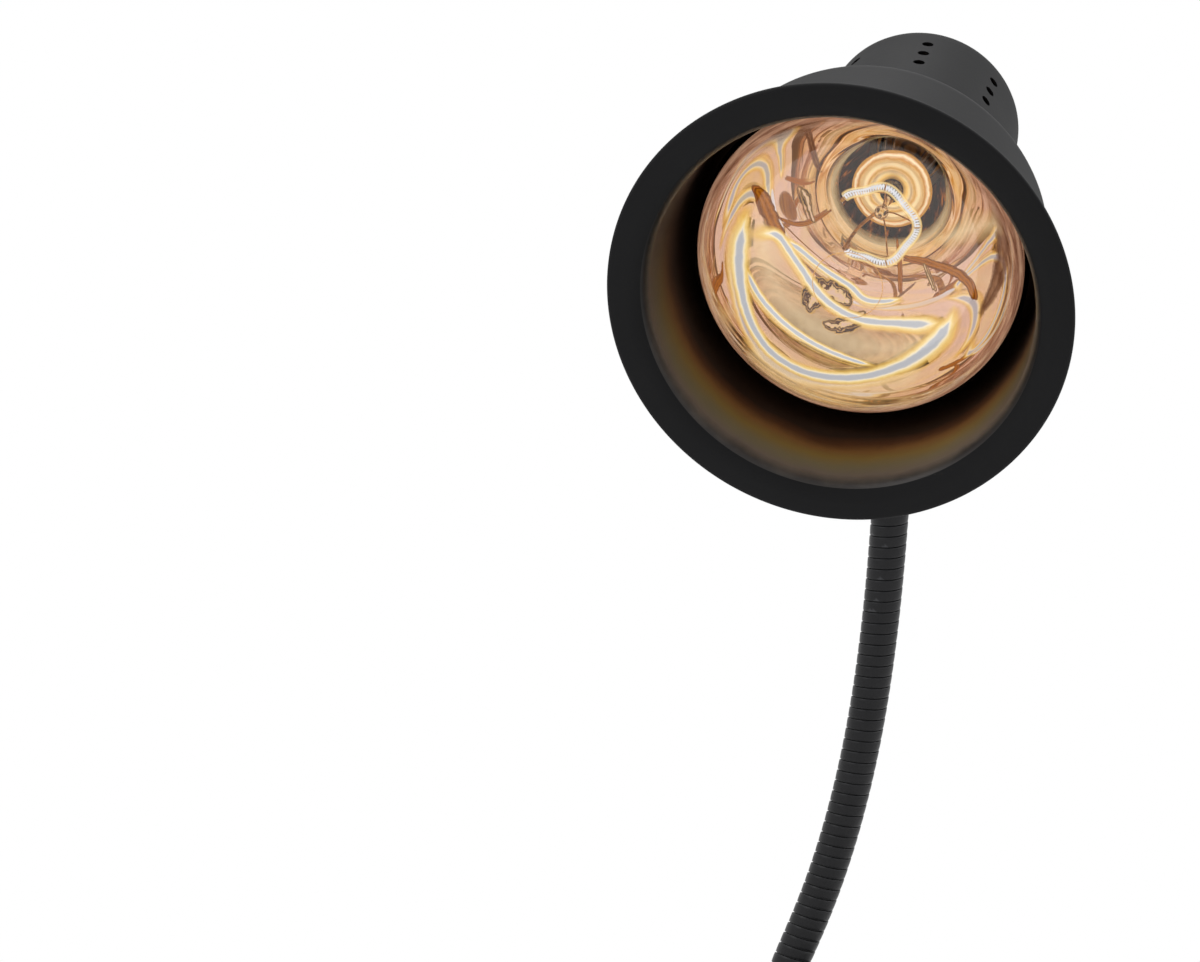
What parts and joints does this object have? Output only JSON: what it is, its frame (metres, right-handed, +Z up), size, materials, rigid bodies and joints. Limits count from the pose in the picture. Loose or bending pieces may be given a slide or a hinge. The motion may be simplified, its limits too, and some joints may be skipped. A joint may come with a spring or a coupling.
{
  "type": "flexible neck heat lamp",
  "caption": "Free-standing food-warming heat lamp: vented spun shade with a reflector bulb, on a flexible strip-wound neck from a round weighted base with a rocker switch.",
  "frame": {"origin": "on the standing surface, under the middle of the whole lamp, 163.5 mm in front of the axis of the neck foot", "axes": "+Z up; -Y is the front, to which the shade opens and where the switch is; +X is to the right seen from the front"},
  "size_m": [0.25, 0.5994, 0.5197],
  "materials": {
    "black_coat": "satin black baked coat on spun steel",
    "black_strip": "semi-gloss black coat on wound steel strip",
    "rubber": "matt black moulded rubber",
    "cast_iron": "rough grey casting",
    "zinc_steel": "bright zinc plate",
    "brass": "pressed brass",
    "ceramic": "glazed white steatite",
    "black_plastic": "moulded black plastic",
    "bulb_glass": "clear face, mirrored bowl",
    "tungsten": "coiled tungsten wire, glowing"
  },
  "bodies": {
    "base": {"rubber_foot_1": "rubber", "foot_screw_1": "zinc_steel", "rubber_foot_2": "rubber", "foot_screw_2": "zinc_steel", "rubber_foot_3": "rubber", "foot_screw_3": "zinc_steel", "rubber_foot_4": "rubber", "foot_screw_4": "zinc_steel", "base_plate": "zinc_steel", "base_weight": "cast_iron", "base_housing": "black_coat", "base_collar": "black_coat", "base_washer": "zinc_steel", "base_nut": "zinc_steel", "base_threaded_tube": "zinc_steel", "switch_body": "black_plastic", "switch_tab_1": "brass", "switch_tab_2": "brass", "cord_gland": "black_plastic", "gland_nut": "black_plastic", "terminal_block": "ceramic", "neck_link_01": "black_strip"},
    "rocker": {"switch_rocker": "black_plastic"},
    "neck_02": {"neck_link_02": "black_strip"},
    "neck_03": {"neck_link_03": "black_strip"},
    "neck_04": {"neck_link_04": "black_strip"},
    "neck_05": {"neck_link_05": "black_strip"},
    "neck_06": {"neck_link_06": "black_strip"},
    "neck_07": {"neck_link_07": "black_strip"},
    "neck_08": {"neck_link_08": "black_strip"},
    "neck_09": {"neck_link_09": "black_strip"},
    "neck_10": {"neck_link_10": "black_strip"},
    "neck_11": {"neck_link_11": "black_strip"},
    "neck_12": {"neck_link_12": "black_strip"},
    "neck_13": {"neck_link_13": "black_strip"},
    "neck_14": {"neck_link_14": "black_strip"},
    "neck_15": {"neck_link_15": "black_strip"},
    "head": {"shade": "black_coat", "head_collar": "black_coat", "head_nut": "zinc_steel", "head_threaded_tube": "zinc_steel", "holder_strap": "zinc_steel", "holder_body": "ceramic", "holder_screw_1": "zinc_steel", "holder_screw_2": "zinc_steel", "screw_shell": "brass", "holder_contact": "brass", "neck_link_16": "black_strip"},
    "bulb": {"bulb_glass": "bulb_glass", "bulb_cap": "brass", "bulb_insulator": "black_plastic", "bulb_contact": "brass", "bulb_stem": "bulb_glass", "bulb_lead_1": "zinc_steel", "bulb_lead_2": "zinc_steel", "bulb_filament": "tungsten", "bulb_support_1": "zinc_steel", "bulb_support_2": "zinc_steel", "bulb_support_3": "zinc_steel", "bulb_heat_disc": "zinc_steel"}
  },
  "joints": [
    {"name": "neck_bend_01_forward", "type": "hinge", "parent": "base", "child": "neck_02", "pos_m": [0.00033, 0.16343, 0.07878], "axis": [0.9969, 0.0007, -0.0784], "range_deg": [-7, 4]},
    {"name": "neck_bend_02_side", "type": "hinge", "parent": "neck_02", "child": "neck_03", "pos_m": [0.00962, 0.16131, 0.11486], "axis": [0.0165, 0.9962, 0.0856], "range_deg": [-8, 8]},
    {"name": "neck_bend_03_forward", "type": "hinge", "parent": "neck_03", "child": "neck_04", "pos_m": [0.0241, 0.15773, 0.14979], "axis": [0.937, 0.0139, -0.349], "range_deg": [-7, 4]},
    {"name": "neck_bend_04_side", "type": "hinge", "parent": "neck_04", "child": "neck_05", "pos_m": [0.03547, 0.15297, 0.18518], "axis": [0.036, 0.9894, 0.1408], "range_deg": [-8, 8]},
    {"name": "neck_bend_05_forward", "type": "hinge", "parent": "neck_05", "child": "neck_06", "pos_m": [0.04378, 0.14688, 0.22121], "axis": [0.9816, -0.0099, -0.1907], "range_deg": [-7, 4]},
    {"name": "neck_bend_06_side", "type": "hinge", "parent": "neck_06", "child": "neck_07", "pos_m": [0.04959, 0.13956, 0.2575], "axis": [0.0488, 0.9773, 0.2061], "range_deg": [-8, 8]},
    {"name": "neck_bend_07_forward", "type": "hinge", "parent": "neck_07", "child": "neck_08", "pos_m": [0.05343, 0.1311, 0.29381], "axis": [0.9954, -0.0312, -0.0911], "range_deg": [-7, 4]},
    {"name": "neck_bend_08_side", "type": "hinge", "parent": "neck_08", "child": "neck_09", "pos_m": [0.05586, 0.1214, 0.33046], "axis": [0.0543, 0.9612, 0.2706], "range_deg": [-8, 8]},
    {"name": "neck_bend_09_forward", "type": "hinge", "parent": "neck_09", "child": "neck_10", "pos_m": [0.05866, 0.10916, 0.36576], "axis": [0.9941, -0.0246, -0.1052], "range_deg": [-7, 4]},
    {"name": "neck_bend_10_side", "type": "hinge", "parent": "neck_10", "child": "neck_11", "pos_m": [0.06216, 0.09381, 0.39977], "axis": [0.0696, 0.894, 0.4427], "range_deg": [-8, 8]},
    {"name": "neck_bend_11_forward", "type": "hinge", "parent": "neck_11", "child": "neck_12", "pos_m": [0.06562, 0.07552, 0.43229], "axis": [0.9931, -0.0201, -0.1157], "range_deg": [-7, 4]},
    {"name": "neck_bend_12_side", "type": "hinge", "parent": "neck_12", "child": "neck_13", "pos_m": [0.06853, 0.05374, 0.46262], "axis": [0.0884, 0.771, 0.6307], "range_deg": [-8, 8]},
    {"name": "neck_bend_13_forward", "type": "hinge", "parent": "neck_13", "child": "neck_14", "pos_m": [0.0702, 0.02732, 0.48907], "axis": [0.9951, -0.0468, -0.0871], "range_deg": [-7, 4]},
    {"name": "neck_bend_14_side", "type": "hinge", "parent": "neck_14", "child": "neck_15", "pos_m": [0.06924, -0.00567, 0.5074], "axis": [0.0861, 0.292, 0.9525], "range_deg": [-8, 8]},
    {"name": "neck_bend_15_forward", "type": "hinge", "parent": "neck_15", "child": "head", "pos_m": [0.06394, -0.04228, 0.50901], "axis": [0.9798, -0.1918, -0.0558], "range_deg": [-7, 4]},
    {"name": "bulb_unscrew", "type": "slide", "parent": "head", "child": "bulb", "axis": [-0.2497, -0.8219, -0.512], "range_m": [0, 0.025]},
    {"name": "switch_rock", "type": "hinge", "parent": "base", "child": "rocker", "pos_m": [0, 0.0835, 0.0466], "axis": [1, 0, 0], "range_deg": [-24, 0]}
  ]
}
